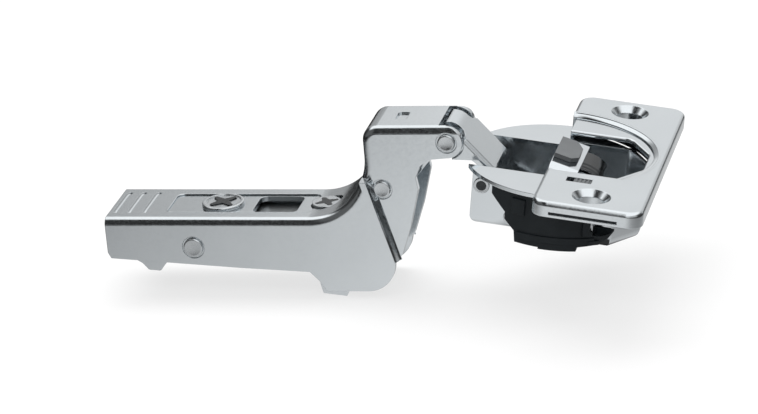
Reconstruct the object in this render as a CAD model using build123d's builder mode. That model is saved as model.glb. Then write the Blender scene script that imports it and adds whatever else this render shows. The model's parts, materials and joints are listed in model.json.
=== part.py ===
from build123d import *
import math
import os

os.makedirs("parts", exist_ok=True)

# Concealed cabinet hinge, shown open. Millimetres, +X from the cabinet towards the door, +Z up.
# The origin is the middle of the seat under the clip frame, which rests on the mounting plate.

# Sheets and running gaps
arm_sheet = 1.25
clip_sheet = 1.2
link_sheet = 1.1
strap_sheet = 1.2
cup_sheet = 0.8
tilt_gap = 0.8
side_gap = 0.3
pin_gap = 0.05
clear = 0.3

# Arm: a wide channel at the rear and a narrow raised knee in front
rear_length = 32.1
rear_width = 17.25
front_width = 13.2
rear_depth = 8.3
belly_depth = 15.0
riser_x = 20.75
swoop_radius = 11.8
seam_up = 7.6
knee_rise = 18.2
knee_radius = 3.0
web_end_x = 35.9
seam_run = 4.5
seam_drop = 9.2
lobe_radius = 3.1
bend_radius = 1.5
panel_depth = 0.25
panel_length = 29.5
rib_width = 0.8
rib_half = 5.2
rib_depth = 0.2
knee_dimple_x = 27.7
knee_dimple_depth = 0.35
web_top = clip_sheet + tilt_gap + arm_sheet

# Pivots of the four-bar linkage, from the origin and the web's top face
inner_arm_x = 23.95
inner_arm_up = 5.5
outer_arm_x = 37.4
outer_cup_x = 49.5
outer_cup_up = 0.7
inner_cup_x = 44.2
inner_cup_up = 7.3
outer_offset = 3.25
rivet_radius = 0.95
outer_pin_radius = 0.85
rivet_head_radius = 1.7
rivet_head_height = 0.5
ring_margin = 0.35
ring_depth = 0.2
eye_radius = 1.62
collar_radius = 1.55
collar_height = 0.3

# Clip frame, its lever and the adjusting screws
clip_rear_x = -26.6
clip_front_x = 15.6
tab_rear_x = 9.9
seat_front_x = 7.4
seat_relief = 0.1
tab_depth = 13.4
clip_depth = 4.6
rear_rivet_x = -14.5
rear_rivet_up = -5.94
rear_rivet_radius = 1.5
rear_head_radius = 1.9
depth_travel = 1.6
lever_pin_x = -19.6
lever_pin_up = -6.0
lever_pin_radius = 1.0
lever_rear_x = -28.6
lever_foot_z = -8.9
depth_screw_x = -10.0
depth_head_radius = 4.2
depth_head_height = 0.7
dish_depth = 0.2
depth_neck_radius = 2.5
eccentric = 1.9
eccentric_radius = 1.4
side_screw_x = 11.0
side_screw_radius = 2.9
side_screw_rise = 0.4
side_neck_radius = 1.1
slot_depth = 0.5

# Cup, in its own frame: u along the door, v across the hinge, w out of the door
cup_x = 58.62
cup_up = 11.82
cup_tilt = 8.83
rim_radius = 18.4
cup_radius = 17.5
cup_depth = 15.0
wing_top = 3.0
pocket_end_u = -15.4
pocket_half = 9.0
damper_room = 7.0
well_end_u = 16.3
well_start_u = -1.0
well_corner_radius = 2.0
rim_bend = 0.5
end_sill = 10.0
cap_end_u = 20.0
cap_half_length = 28.4
cap_corner = 3.0
cap_edge_radius = 0.9
near_edge_v = -12.2
end_slot_u = 9.0
end_slot_w = -2.2
end_slot_length = 12.9
end_slot_height = 0.5
screw_pitch = 45.0
screw_offset_u = 9.5
screw_hole_radius = 2.6
screw_sink_radius = 3.7
housing_front_u = 13.0
damper_inset = 4.2
damper_start_u = -3.9
damper_w = -9.4
damper_radius = 1.7
damper_rod_radius = 0.8
lock_u = 6.0
lock_v = -15.6
lock_slot_length = 4.8
lock_slot_width = 2.2
lock_travel = 1.2

# Damper lever in the well, which the links push down as the hinge closes
damper_lever_sheet = 0.7
damper_lever_room = 2.5
damper_lever_u = 4.0
damper_lever_w = -8.0
plate_start_u = -1.0
plate_start_w = -0.7
plate_slope = 13.0
plate_length = 5.6
shoulder_radius = 1.8
lever_arm_drop = 10.0
lever_eye_radius = 1.7
stub_radius = 0.9
nose_radius = 5.7
nose_half = 4.4
nose_from = math.radians(88)
nose_to = math.radians(42)
switch_height = 0.9

tilt = math.radians(cup_tilt)
cup_z = web_top + cup_up
cup_plane = Plane(
    origin=(cup_x, 0, cup_z),
    x_dir=(math.cos(tilt), 0, -math.sin(tilt)),
    z_dir=(math.sin(tilt), 0, math.cos(tilt)),
)
cup_axis = Axis(cup_plane.origin, cup_plane.z_dir)
cup_side = Plane(origin=cup_plane.origin, x_dir=cup_plane.x_dir, z_dir=(0, -1, 0))


def to_cup(x, z):
    """Place of a point of the middle plane in the cup's u and w."""
    point = cup_plane.to_local_coords(Vector(x, 0, z))
    return (point.X, point.Z)


inner_arm = (inner_arm_x, web_top + inner_arm_up)
outer_arm = (outer_arm_x, web_top + knee_rise - outer_offset)
inner_cup = (inner_cup_x, web_top + inner_cup_up)
outer_cup = (outer_cup_x, web_top + outer_cup_up)
inner_cup_uw = to_cup(*inner_cup)
outer_cup_uw = to_cup(*outer_cup)
arm_inner_half = rear_width / 2 - arm_sheet
knee_inner_half = front_width / 2 - arm_sheet
clip_half = arm_inner_half - side_gap
clip_inner_half = clip_half - clip_sheet
rear_rivet = (rear_rivet_x, web_top + rear_rivet_up)
lever_pin_place = (lever_pin_x, web_top + lever_pin_up)
swoop_end_x = riser_x - swoop_radius + math.sqrt(swoop_radius**2 - (swoop_radius - seam_up) ** 2)
swoop_end = (swoop_end_x, web_top + seam_up)
seam_top = (riser_x + 0.5, web_top + seam_up)
seam_foot = (seam_top[0] + seam_run, web_top - seam_drop)
belly_corner = (riser_x - 0.8, web_top - belly_depth)
belly_middle = (seam_foot[0] - 1.4, web_top - belly_depth + 2.0)


# Knee: the narrow front of the arm, from the seam to the pivots' lobes
with BuildPart() as knee:
    with BuildSketch(Plane.XZ):
        with BuildLine():
            RadiusArc(swoop_end, (riser_x, web_top + swoop_radius), -swoop_radius)
            Line((riser_x, web_top + swoop_radius), (riser_x, web_top + knee_rise - knee_radius))
            RadiusArc(
                (riser_x, web_top + knee_rise - knee_radius),
                (riser_x + knee_radius, web_top + knee_rise),
                knee_radius,
            )
            Polyline(
                (riser_x + knee_radius, web_top + knee_rise),
                (outer_arm[0], web_top + knee_rise),
                (outer_arm[0], outer_arm[1]),
                (outer_arm[0] - 0.3, outer_arm[1] - lobe_radius),
                (outer_arm[0] - 3.8, outer_arm[1] - lobe_radius - 0.3),
                (inner_arm[0] + 8.0, inner_arm[1] + 4.8),
                (inner_arm[0] + 6.85, inner_arm[1] + 2.3),
                (inner_arm[0] + 7.2, inner_arm[1] - 0.1),
                (inner_arm[0] + 5.2, inner_arm[1] - 7.4),
                (inner_arm[0] + 2.9, inner_arm[1] - 13.7),
                seam_foot,
                seam_top,
                swoop_end,
            )
        make_face()
        with Locations(outer_arm):
            Circle(lobe_radius)
    extrude(amount=front_width / 2, both=True)
    top_edges = (
        knee.edges()
        .filter_by(lambda e: abs(abs(e.center().Y) - front_width / 2) < 0.01)
        .filter_by(lambda e: e.center().Z > web_top + knee_rise - 2 or e.center().X < riser_x + 0.01)
        .filter_by(lambda e: e.center().X < outer_arm[0] - 1)
        .filter_by(lambda e: e.center().Z > swoop_end[1] + 0.1)
    )
    fillet(top_edges, bend_radius)
    inner_swoop_x = riser_x - swoop_radius + math.sqrt((swoop_radius + arm_sheet) ** 2 - swoop_radius**2)
    with BuildSketch(Plane.XZ):
        with BuildLine():
            RadiusArc(
                (inner_swoop_x, web_top),
                (riser_x + arm_sheet, web_top + swoop_radius),
                -(swoop_radius + arm_sheet),
            )
            Line(
                (riser_x + arm_sheet, web_top + swoop_radius),
                (riser_x + arm_sheet, web_top + knee_rise - knee_radius),
            )
            RadiusArc(
                (riser_x + arm_sheet, web_top + knee_rise - knee_radius),
                (riser_x + knee_radius, web_top + knee_rise - arm_sheet),
                knee_radius - arm_sheet,
            )
            Polyline(
                (riser_x + knee_radius, web_top + knee_rise - arm_sheet),
                (web_end_x, web_top + knee_rise - arm_sheet),
                (web_end_x, web_top + knee_rise + 1),
                (outer_arm[0] + 8, web_top + knee_rise + 1),
                (outer_arm[0] + 8, seam_foot[1] - 8),
                (inner_swoop_x, seam_foot[1] - 8),
                (inner_swoop_x, web_top),
            )
        make_face()
    extrude(amount=knee_inner_half, both=True, mode=Mode.SUBTRACT)

# Arm: the wide rear channel with the knee's jogs, windows and rivet holes
with BuildPart() as hinge_arm:
    with BuildSketch(Plane.XZ):
        with BuildLine():
            Line((-rear_length, web_top), (riser_x - swoop_radius, web_top))
            RadiusArc((riser_x - swoop_radius, web_top), swoop_end, -swoop_radius)
            Polyline(swoop_end, seam_top, seam_foot)
            ThreePointArc(seam_foot, belly_middle, belly_corner)
            Polyline(
                belly_corner,
                (riser_x - 9.0, web_top - belly_depth),
                (riser_x - 10.4, web_top - belly_depth + 2.1),
                (riser_x - 12.2, web_top - belly_depth + 4.0),
                (-5.5, web_top - rear_depth - 1.9),
                (-rear_length + 0.6, web_top - rear_depth),
                (-rear_length, web_top - rear_depth + 1.2),
                (-rear_length, web_top),
            )
        make_face()
    extrude(amount=rear_width / 2, both=True)
    web_edges = (
        hinge_arm.edges()
        .filter_by(lambda e: abs(abs(e.center().Y) - rear_width / 2) < 0.01)
        .filter_by(lambda e: e.center().Z > web_top - 0.01)
        .filter_by(lambda e: e.center().X < riser_x - 0.5)
    )
    fillet(web_edges, bend_radius)
    with BuildSketch(Plane.XZ):
        with BuildLine():
            Line((-rear_length - 1, web_top - arm_sheet), (riser_x - swoop_radius, web_top - arm_sheet))
            RadiusArc(
                (riser_x - swoop_radius, web_top - arm_sheet),
                (riser_x + arm_sheet, web_top + swoop_radius),
                -(swoop_radius + arm_sheet),
            )
            Polyline(
                (riser_x + arm_sheet, web_top + swoop_radius),
                (riser_x + 12, web_top + swoop_radius),
                (riser_x + 12, web_top - belly_depth - 5),
                (-rear_length - 1, web_top - belly_depth - 5),
                (-rear_length - 1, web_top - arm_sheet),
            )
        make_face()
    extrude(amount=arm_inner_half, both=True, mode=Mode.SUBTRACT)
    add(knee.part)
    # Jogs: the cheeks step inwards along the seam
    for side in (-1, 1):
        with BuildSketch(Plane.XZ.offset(side * knee_inner_half)):
            with BuildLine():
                Polyline(
                    seam_top,
                    seam_foot,
                    (seam_foot[0] - arm_sheet, seam_foot[1]),
                    (seam_top[0] - arm_sheet, seam_top[1]),
                    close=True,
                )
            make_face()
        extrude(amount=side * (rear_width / 2 - knee_inner_half))
    # Shallow panel and finger ribs on the rear web
    with BuildSketch(Plane.XY.offset(web_top)):
        with Locations((riser_x - swoop_radius - panel_length / 2, 0)):
            RectangleRounded(panel_length, 9.8, 1.5)
    extrude(amount=-panel_depth, mode=Mode.SUBTRACT)
    for rib_x in (1.2, 4.1, 7.2):
        with BuildSketch(Plane.XY.offset(web_top)):
            with Locations((-rear_length + rib_x, 0)):
                RectangleRounded(rib_width, 2 * rib_half, 0.3)
        extrude(amount=-rib_depth, mode=Mode.SUBTRACT)
        with BuildSketch(Plane.XY.offset(web_top)):
            with Locations((-rear_length + rib_x + 0.3, rib_half)):
                Circle(0.5)
        extrude(amount=-2 * rib_depth, mode=Mode.SUBTRACT)
    with BuildSketch(Plane.XY.offset(web_top + knee_rise)):
        with Locations((knee_dimple_x, 0)):
            RectangleRounded(2.3, 4.0, 0.6)
    extrude(amount=-knee_dimple_depth, mode=Mode.SUBTRACT)
    # Window, screw holes and rivet holes
    with BuildSketch(Plane.XY.offset(web_top - arm_sheet - 1)):
        with Locations((33.3 - rear_length, 0)):
            RectangleRounded(9.0, 8.4, 1.4)
        with Locations((depth_screw_x, 0)):
            Circle(depth_neck_radius + pin_gap)
        with Locations((side_screw_x, 0)):
            Circle(side_screw_radius + clear)
    extrude(amount=arm_sheet + 4, mode=Mode.SUBTRACT)
    with BuildSketch(Plane.XZ.offset(-rear_width)):
        with Locations(inner_arm, outer_arm):
            Circle(rivet_radius + pin_gap)
        with Locations(rear_rivet):
            Circle(rear_rivet_radius + pin_gap)
    extrude(amount=2 * rear_width, mode=Mode.SUBTRACT)
    # Sunk rings round the rivet heads
    for side in (-1, 1):
        with BuildSketch(Plane.XZ.offset(side * front_width / 2)):
            with Locations(inner_arm, outer_arm):
                Circle(rivet_head_radius + ring_margin)
        extrude(amount=-side * ring_depth, mode=Mode.SUBTRACT)
        with BuildSketch(Plane.XZ.offset(side * rear_width / 2)):
            with Locations(rear_rivet):
                Circle(rear_head_radius + ring_margin)
        extrude(amount=-side * ring_depth, mode=Mode.SUBTRACT)
hinge_arm.part.label = "hinge_arm"
export_step(hinge_arm.part, "parts/hinge_arm.step")

# Clip frame: a channel inside the arm, slotted for the rear rivet and the screws
with BuildPart() as clip_frame:
    with BuildSketch(Plane.XZ):
        with BuildLine():
            Polyline(
                (clip_rear_x, clip_sheet),
                (clip_front_x, clip_sheet),
                (clip_front_x + 0.3, -tab_depth + 1.6),
                (clip_front_x - 0.4, -tab_depth),
                (tab_rear_x + 0.6, -tab_depth + 0.6),
                (tab_rear_x, -tab_depth + 3.4),
                (tab_rear_x - 2.2, -clip_depth),
                (clip_rear_x + 2.4, -clip_depth),
                (clip_rear_x, -clip_depth + 2.4),
                close=True,
            )
        make_face()
    extrude(amount=clip_half, both=True)
    clip_edges = (
        clip_frame.edges()
        .filter_by(Axis.X)
        .filter_by(lambda e: abs(e.center().Z - clip_sheet) < 0.01)
    )
    fillet(clip_edges, clip_sheet)
    with BuildSketch(Plane.XZ):
        with BuildLine():
            Polyline(
                (clip_rear_x - 1, 0),
                (clip_front_x + 2, 0),
                (clip_front_x + 2, -tab_depth - 1),
                (clip_rear_x - 1, -tab_depth - 1),
                close=True,
            )
        make_face()
    extrude(amount=clip_inner_half, both=True, mode=Mode.SUBTRACT)
    with BuildSketch(Plane.XZ.offset(-rear_width)):
        with Locations(rear_rivet):
            SlotCenterToCenter(2 * depth_travel, 2 * (rear_rivet_radius + pin_gap))
        with Locations(lever_pin_place):
            Circle(lever_pin_radius)
    extrude(amount=2 * rear_width, mode=Mode.SUBTRACT)
    with BuildSketch(Plane.XY.offset(-1)):
        with Locations((depth_screw_x, eccentric * 0.75)):
            Rectangle(
                2 * (eccentric_radius + clear),
                eccentric * 0.5 + 2 * (eccentric_radius + clear),
            )
        with Locations((side_screw_x, 0)):
            SlotCenterToCenter(2 * depth_travel + clear, 2 * (side_neck_radius + clear))
    extrude(amount=clip_sheet + 2, mode=Mode.SUBTRACT)
    # The seat stands a little lower than the web behind and before it
    seat_rear_x = rear_rivet_x + rear_rivet_radius + clear
    with BuildSketch(Plane.XY):
        with Locations(((clip_rear_x - 1 + seat_rear_x) / 2, 0)):
            Rectangle(seat_rear_x - clip_rear_x + 1, 2 * clip_inner_half)
        with Locations(((clip_front_x + 1 + seat_front_x) / 2, 0)):
            Rectangle(clip_front_x + 1 - seat_front_x, 2 * clip_inner_half)
    extrude(amount=seat_relief, mode=Mode.SUBTRACT)
clip_frame.part.label = "clip_frame"
export_step(clip_frame.part, "parts/clip_frame.step")

# Clip lever: two cheeks and a rear plate, turning on its pin
lever_half = clip_inner_half - side_gap
with BuildPart() as clip_lever:
    with BuildSketch(Plane.XZ):
        with BuildLine():
            Polyline(
                (lever_rear_x, -1.2),
                (clip_rear_x - 0.5, -1.2),
                (clip_rear_x + 1.0, -2.8),
                (lever_pin_place[0], lever_pin_place[1] + 2.0),
                (lever_pin_place[0] + 1.9, lever_pin_place[1]),
                (lever_pin_place[0] + 0.6, lever_pin_place[1] - 2.0),
                (lever_pin_place[0] - 1.9, lever_foot_z + 1.4),
                (lever_pin_place[0] - 3.0, lever_foot_z),
                (lever_pin_place[0] - 5.4, lever_foot_z + 0.2),
                (lever_pin_place[0] - 6.6, lever_foot_z + 1.6),
                (lever_rear_x, -5.8),
                close=True,
            )
        make_face()
        fillet(vertices(), 0.5)
        with Locations(lever_pin_place):
            Circle(lever_pin_radius + pin_gap, mode=Mode.SUBTRACT)
    extrude(amount=lever_half, both=True)
    with BuildSketch(Plane.XZ):
        with Locations((lever_rear_x + clip_sheet + 10, -5)):
            Rectangle(20, 20)
    extrude(amount=lever_half - clip_sheet, both=True, mode=Mode.SUBTRACT)
clip_lever.part.label = "clip_lever"
export_step(clip_lever.part, "parts/clip_lever.step")

with BuildPart() as lever_pin:
    with BuildSketch(Plane.XZ):
        with Locations(lever_pin_place):
            Circle(lever_pin_radius)
    extrude(amount=clip_half, both=True)
lever_pin.part.label = "lever_pin"
export_step(lever_pin.part, "parts/lever_pin.step")

# Lever spring: a coil on the pin with one leg under the frame and one behind the lever's plate
spring_wire = 0.6
lever_coil_radius = lever_pin_radius + 0.1 + spring_wire / 2
with BuildPart() as lever_spring:
    for turn in range(5):
        with Locations(Location((lever_pin_place[0], (turn - 2) * 0.62, lever_pin_place[1]), (90, 0, 0))):
            Torus(lever_coil_radius, spring_wire / 2)
    for side, tip in ((-1, (lever_rear_x + clip_sheet + 0.5, -4.6)), (1, (lever_pin_place[0] - 2.6, -0.7))):
        foot = (lever_pin_place[0] - lever_coil_radius, lever_pin_place[1])
        run = math.hypot(tip[0] - foot[0], tip[1] - foot[1])
        leg_plane = Plane(
            origin=(foot[0], side * 1.24, foot[1]),
            z_dir=(tip[0] - foot[0], 0, tip[1] - foot[1]),
        )
        with BuildSketch(leg_plane):
            Circle(spring_wire / 2)
        extrude(amount=run)
lever_spring.part.label = "lever_spring"
export_step(lever_spring.part, "parts/lever_spring.step")


def make_rivet(place, radius, head_radius, half_width, head_height, label):
    """A through rivet with a domed head on each side, written to its own file."""
    with BuildPart() as rivet:
        with BuildSketch(Plane.XZ):
            with Locations(place):
                Circle(radius)
        extrude(amount=half_width, both=True)
        for side in (-1, 1):
            head_plane = Plane(
                origin=(place[0], side * half_width, place[1]),
                x_dir=(1, 0, 0),
                z_dir=(0, side, 0),
            )
            with BuildSketch(head_plane):
                Circle(head_radius)
            extrude(amount=head_height)
        rims = rivet.edges().filter_by(GeomType.CIRCLE).filter_by(
            lambda e: abs(abs(e.center().Y) - half_width - head_height) < 0.01
        )
        fillet(rims, head_height * 0.6)
    rivet.part.label = label
    export_step(rivet.part, "parts/" + label + ".step")


make_rivet(
    rear_rivet,
    rear_rivet_radius,
    rear_head_radius,
    rear_width / 2 - ring_depth + pin_gap,
    rivet_head_height,
    "rear_rivet",
)
for rivet_place, rivet_label in ((inner_arm, "inner_link_rivet"), (outer_arm, "outer_link_rivet")):
    make_rivet(
        rivet_place,
        rivet_radius,
        rivet_head_radius,
        front_width / 2 - ring_depth,
        rivet_head_height,
        rivet_label,
    )


def cross_slot(plane, reach, width, turn):
    """Outline of two crossed slots in a screw's face."""
    with BuildSketch(plane) as cross:
        Rectangle(2 * reach, width, rotation=turn)
        Rectangle(width, 2 * reach, rotation=turn)
    return cross.sketch


# Depth screw: a flat head on the web, a neck in the web and an eccentric in the frame's slot
head_seat = web_top - panel_depth + pin_gap
with BuildPart() as depth_screw:
    with BuildSketch(Plane.XY.offset(head_seat)):
        with Locations((depth_screw_x, 0)):
            Circle(depth_head_radius)
    extrude(amount=depth_head_height)
    fillet(depth_screw.edges().group_by(Axis.Z)[-1], 0.3)
    depth_face = Plane(origin=(depth_screw_x, 0, head_seat + depth_head_height - dish_depth))
    with BuildSketch(depth_face):
        Circle(depth_head_radius - 0.7)
    extrude(amount=dish_depth, mode=Mode.SUBTRACT)
    depth_cross = cross_slot(depth_face, 2.8, 1.1, 45)
    extrude(depth_cross, amount=-slot_depth, mode=Mode.SUBTRACT)
    with BuildSketch(Plane.XY.offset(web_top - arm_sheet - clear)):
        with Locations((depth_screw_x, 0)):
            Circle(depth_neck_radius)
    extrude(amount=head_seat - web_top + arm_sheet + clear)
    with BuildSketch(Plane.XY.offset(0.2)):
        with Locations((depth_screw_x, eccentric)):
            Circle(eccentric_radius)
    extrude(amount=web_top - arm_sheet - clear - 0.2)
depth_screw.part.label = "depth_screw"
export_step(depth_screw.part, "parts/depth_screw.step")

# Side screw: a headless screw through the web, held in the frame by its foot
with BuildPart() as side_screw:
    with BuildSketch(Plane.XY.offset(clip_sheet + 0.1)):
        with Locations((side_screw_x, 0)):
            Circle(side_screw_radius)
    extrude(amount=web_top + side_screw_rise - clip_sheet - 0.1)
    side_face = Plane(origin=(side_screw_x, 0, web_top + side_screw_rise))
    side_cross = cross_slot(side_face, side_screw_radius * 0.75, 1.0, 30)
    extrude(side_cross, amount=-slot_depth, mode=Mode.SUBTRACT)
    with BuildSketch(Plane.XY.offset(-0.9)):
        with Locations((side_screw_x, 0)):
            Circle(side_neck_radius)
    extrude(amount=clip_sheet + 1.0)
    with BuildSketch(Plane.XY.offset(-0.9)):
        with Locations((side_screw_x, 0)):
            Circle(side_neck_radius + 0.9)
    extrude(amount=0.8)
side_screw.part.label = "side_screw"
export_step(side_screw.part, "parts/side_screw.step")

# Inner link: a bent strap with an eye at each end
strap_half = 3.2
inner_eye_half = 3.2
link_dir = Vector(inner_cup[0] - inner_arm[0], 0, inner_cup[1] - inner_arm[1]).normalized()
with BuildPart() as inner_link:
    with BuildSketch(Plane.XZ):
        with BuildLine():
            Spline(
                (inner_arm[0] + 1.2, inner_arm[1] + 0.3),
                (inner_arm[0] + 5.4, inner_arm[1] + 1.4),
                (inner_arm[0] + 9.4, inner_arm[1] + 5.6),
                (inner_arm[0] + 13.4, inner_arm[1] + 6.9),
                (inner_cup[0] - 3.2, inner_cup[1] + 3.8),
                (inner_cup[0] - 0.4, inner_cup[1] + 1.1),
            )
        trace(line_width=strap_sheet)
    extrude(amount=strap_half, both=True)
    with BuildSketch(Plane.XZ):
        with Locations(inner_arm, inner_cup):
            Circle(eye_radius)
    extrude(amount=inner_eye_half, both=True)
    with BuildSketch(Plane.XZ):
        with Locations(inner_arm, inner_cup):
            Circle(rivet_radius + pin_gap)
    extrude(amount=inner_eye_half + 1, both=True, mode=Mode.SUBTRACT)
inner_link.part.label = "inner_link"
export_step(inner_link.part, "parts/inner_link.step")

# Closing springs: one coil each side of the inner link's eye
coil_wire = 0.5
coil_radius = rivet_radius + 0.1 + coil_wire / 2
coil_count = 3
for spring_side, spring_label in ((-1, "near_closing_spring"), (1, "far_closing_spring")):
    with BuildPart() as closing_spring:
        for turn in range(coil_count):
            coil_y = spring_side * (inner_eye_half + clear + coil_wire / 2 + turn * coil_wire * 1.04)
            with Locations(Location((inner_arm[0], coil_y, inner_arm[1]), (90, 0, 0))):
                Torus(coil_radius, coil_wire / 2)
        leg_y = spring_side * (inner_eye_half + clear + coil_wire / 2)
        with BuildSketch(Plane.XY.offset(inner_arm[1])):
            with Locations((inner_arm[0] - coil_radius, leg_y)):
                Circle(coil_wire * 0.44)
        extrude(amount=7)
    closing_spring.part.label = spring_label
    export_step(closing_spring.part, "parts/" + spring_label + ".step")

# Outer link: a channel that bends into the cup and hooks round the outer pin
axis_angle = math.atan2(outer_cup[1] - outer_arm[1], outer_cup[0] - outer_arm[0])
link_plane = Plane(
    origin=(outer_arm[0], 0, outer_arm[1]),
    x_dir=(math.cos(axis_angle), 0, math.sin(axis_angle)),
    z_dir=(0, -1, 0),
)
notch_plane = Plane(
    origin=link_plane.from_local_coords(Vector(0, 1.4, 0)),
    x_dir=link_plane.x_dir,
    z_dir=link_plane.y_dir,
)
link_length = math.hypot(outer_cup[0] - outer_arm[0], outer_cup[1] - outer_arm[1])
link_half = 6.25
hook_radius = 1.75
fork_start = 10.0
knuckle_half = knee_inner_half - side_gap
inner_radius = outer_offset - link_sheet
link_bend = 0.9
lip_angle = math.radians(146)
lip_outer = (outer_offset * math.cos(lip_angle), outer_offset * math.sin(lip_angle))
ear_radius = 2.2
lip_foot = (ear_radius * math.cos(lip_angle), ear_radius * math.sin(lip_angle))


def on_link_face(point):
    """Whether a point lies on the rim of the web's outer face."""
    place = link_plane.to_local_coords(point)
    flat = abs(place.Y - outer_offset) < 0.01 and place.X > 2.1
    return flat or (place.X > 10.1 and place.Y > 2.35 - 0.52 * (place.X - 10.9) and place.Y > 0.5)


with BuildPart() as link_knuckle:
    with BuildSketch(link_plane):
        with BuildLine():
            RadiusArc(lip_outer, (0, outer_offset), outer_offset)
            Polyline((0, outer_offset), (5.0, outer_offset), (5.0, inner_radius))
            Line((5.0, inner_radius), (3.2, -0.8))
            Line((3.2, -0.8), (0.6, -2.5))
            ThreePointArc((0.6, -2.5), (-1.9, -1.3), lip_foot)
            Line(lip_foot, lip_outer)
        make_face()
    extrude(amount=knuckle_half, both=True)
    with BuildSketch(link_plane):
        Circle(inner_radius)
        with Locations((3.25, 0)):
            Rectangle(6.5, 2 * inner_radius)
        with Locations((1.5, -3.5)):
            Rectangle(10, 10)
    extrude(amount=knuckle_half - link_sheet, both=True, mode=Mode.SUBTRACT)
    with BuildSketch(link_plane):
        Circle(rivet_radius + pin_gap)
    extrude(amount=knuckle_half + 1, both=True, mode=Mode.SUBTRACT)

with BuildPart() as outer_link:
    # Web: an arc over the knuckle, a straight run and a bend inwards
    with BuildSketch(link_plane):
        with BuildLine():
            Line((2.0, outer_offset), (10.0, outer_offset))
            RadiusArc((10.0, outer_offset), (12.6, 1.75), 3.6)
            Polyline(
                (12.6, 1.75),
                (14.6, 0.45),
                (14.1, -0.45),
                (11.9, 0.8),
            )
            RadiusArc((11.9, 0.8), (10.0, inner_radius), -2.5)
            Polyline((10.0, inner_radius), (2.0, inner_radius), (2.0, outer_offset))
        make_face()
    extrude(amount=link_half, both=True)
    web_rims = (
        outer_link.edges()
        .filter_by(lambda e: abs(abs(e.center().Y) - link_half) < 0.01)
        .filter_by(lambda e: on_link_face(e.center()))
    )
    fillet(web_rims, link_bend)
    # Cheeks: a triangle beside the lobe, and a rail from the web's end to the hook
    with BuildSketch(link_plane):
        with BuildLine():
            Polyline(
                (2.0, outer_offset - link_bend - 0.05),
                (2.4, -1.4),
                (3.2, -1.6),
                (6.3, 1.75),
                (6.8, outer_offset - link_bend - 0.05),
                close=True,
            )
        make_face()
        with BuildLine():
            Polyline(
                (12.6, 0.6),
                (14.6, -0.4),
                (link_length - 1.0, -1.55),
                (link_length, 0),
                (link_length - 0.6, 1.7),
                (14.9, 0.6),
                (13.4, 0.5),
                close=True,
            )
        make_face()
        with Locations((link_length, 0)):
            Circle(hook_radius)
    extrude(amount=link_half, both=True)
    with BuildSketch(link_plane):
        with BuildLine():
            Polyline(
                (2.3, inner_radius),
                (10.0, inner_radius),
                (11.9, 0.8),
                (14.1, -0.45),
                (14.8, -0.45),
                (14.6, 3.6),
                (link_length + 5, 3.6),
                (link_length + 5, -5),
                (2.3, -5),
                close=True,
            )
        make_face()
    extrude(amount=link_half - arm_sheet, both=True, mode=Mode.SUBTRACT)
    # A fork in the web's end, round the inner link's eye
    with BuildSketch(link_plane):
        with Locations((fork_start + 5, 0)):
            Rectangle(10, 8)
    extrude(amount=inner_eye_half + clear, both=True, mode=Mode.SUBTRACT)
    # The open hook: a slot that lets the outer pin leave along its real path
    with BuildSketch(link_plane):
        with Locations((link_length, 0)):
            Circle(outer_pin_radius + clear)
        with BuildLine():
            Polyline(
                (link_length - 0.9, 0.7),
                (link_length + 0.9, -0.7),
                (link_length + 5.2, 2.2),
                (link_length + 1.2, 5.4),
                close=True,
            )
        make_face()
    extrude(amount=link_half + 1, both=True, mode=Mode.SUBTRACT)
    # Room for the arm's lobes
    with BuildSketch(link_plane):
        Circle(lobe_radius + clear)
        with Locations((-5, 0)):
            Rectangle(10, 20)
    extrude(amount=link_half + 1, both=True, mode=Mode.SUBTRACT)
    # Knuckle: two ears under the web that turn on the rivet between the lobes
    add(link_knuckle.part)
    # Rounded notches beside the knuckle's lip
    with BuildSketch(notch_plane):
        with Locations((-1.0, -5.0), (-1.0, 5.0)):
            SlotOverall(5.0, 3.4)
    extrude(amount=3, mode=Mode.SUBTRACT)
outer_link.part.label = "outer_link"
export_step(outer_link.part, "parts/outer_link.step")

# Cup pins, headed into the pocket's walls
wall_inner_half = pocket_half - cup_sheet
for pin_place, pin_radius, pin_label in (
    (inner_cup, rivet_radius, "inner_link_pin"),
    (outer_cup, outer_pin_radius, "outer_link_pin"),
):
    with BuildPart() as cup_pin:
        with BuildSketch(Plane.XZ):
            with Locations(pin_place):
                Circle(pin_radius)
        extrude(amount=pocket_half, both=True)
        for side in (-1, 1):
            with BuildSketch(Plane.XZ.offset(side * pocket_half)):
                with Locations(pin_place):
                    Circle(collar_radius)
                    Circle(pin_radius - 0.15, mode=Mode.SUBTRACT)
            extrude(amount=side * collar_height)
            with BuildSketch(Plane.XZ.offset(side * (pocket_half - collar_height))):
                with Locations(pin_place):
                    Circle(pin_radius - 0.15)
            extrude(amount=side * collar_height, mode=Mode.SUBTRACT)
    cup_pin.part.label = pin_label
    export_step(cup_pin.part, "parts/" + pin_label + ".step")

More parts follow.
